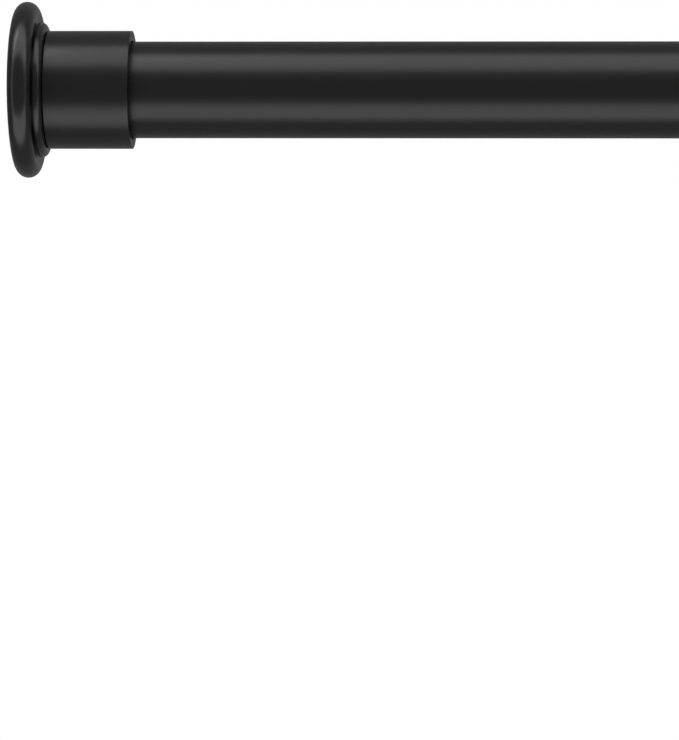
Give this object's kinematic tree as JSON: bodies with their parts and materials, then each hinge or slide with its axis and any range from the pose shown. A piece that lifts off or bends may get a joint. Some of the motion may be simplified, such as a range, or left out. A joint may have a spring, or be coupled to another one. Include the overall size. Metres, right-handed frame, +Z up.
{
  "type": "spring tension rod",
  "caption": "Telescoping curtain rod that an inner spring presses between two walls, with flanged round end caps and a twist lock that sets its length.",
  "frame": {"origin": "centre of the left wall pad's face, where the rod meets the left wall", "axes": "+X along the rod from the thin tube's end to the thick tube's end, +Z up as it hangs"},
  "size_m": [1.27, 0.0462, 0.0462],
  "materials": {
    "coated_tube": "satin black powder coat on steel tube",
    "coated_collar": "satin black powder coat on a turned sleeve",
    "moulded_cap": "satin black moulding",
    "pad_rubber": "matt black rubber",
    "nylon": "natural moulded nylon",
    "zinc_steel": "bright zinc plate",
    "spring_steel": "oiled spring steel"
  },
  "bodies": {
    "inner_half": {"left_wall_pad": "pad_rubber", "left_flange": "moulded_cap", "left_collar": "coated_collar", "inner_tube": "coated_tube", "guide_plug": "nylon", "spring_washer": "zinc_steel", "tension_spring": "spring_steel"},
    "spindle_set": {"spindle": "zinc_steel", "stop_washer": "zinc_steel", "stop_clip": "spring_steel", "spring_seat": "zinc_steel", "thrust_cone": "nylon", "cone_pin": "spring_steel", "end_nut": "zinc_steel"},
    "lock_sleeve": {"expander_sleeve": "nylon"},
    "lock_nut": {"expander_nut": "nylon"},
    "outer_half": {"outer_tube": "coated_tube", "right_collar": "coated_collar", "right_flange": "moulded_cap", "right_wall_pad": "pad_rubber"}
  },
  "joints": [
    {"name": "spring_travel", "type": "slide", "parent": "inner_half", "child": "spindle_set", "axis": [1, 0, 0], "range_m": [-0.03, 0], "stiffness_N_per_m": 2000, "springref_m": 0.02, "deforming": ["tension_spring"]},
    {"name": "twist_lock", "type": "hinge", "parent": "spindle_set", "child": "lock_sleeve", "pos_m": [0.7887, 0, 0], "axis": [1, 0, 0], "range_deg": [0, 360]},
    {"name": "cone_travel", "type": "slide", "parent": "lock_sleeve", "child": "lock_nut", "axis": [1, 0, 0], "range_m": [0, 0.0015]},
    {"name": "telescope", "type": "slide", "parent": "lock_sleeve", "child": "outer_half", "axis": [1, 0, 0], "range_m": [-0.385, 0.16]}
  ],
  "couplings": [
    {"joint": "cone_travel", "follows": "twist_lock", "m_per_rad": 0.00023873}
  ]
}
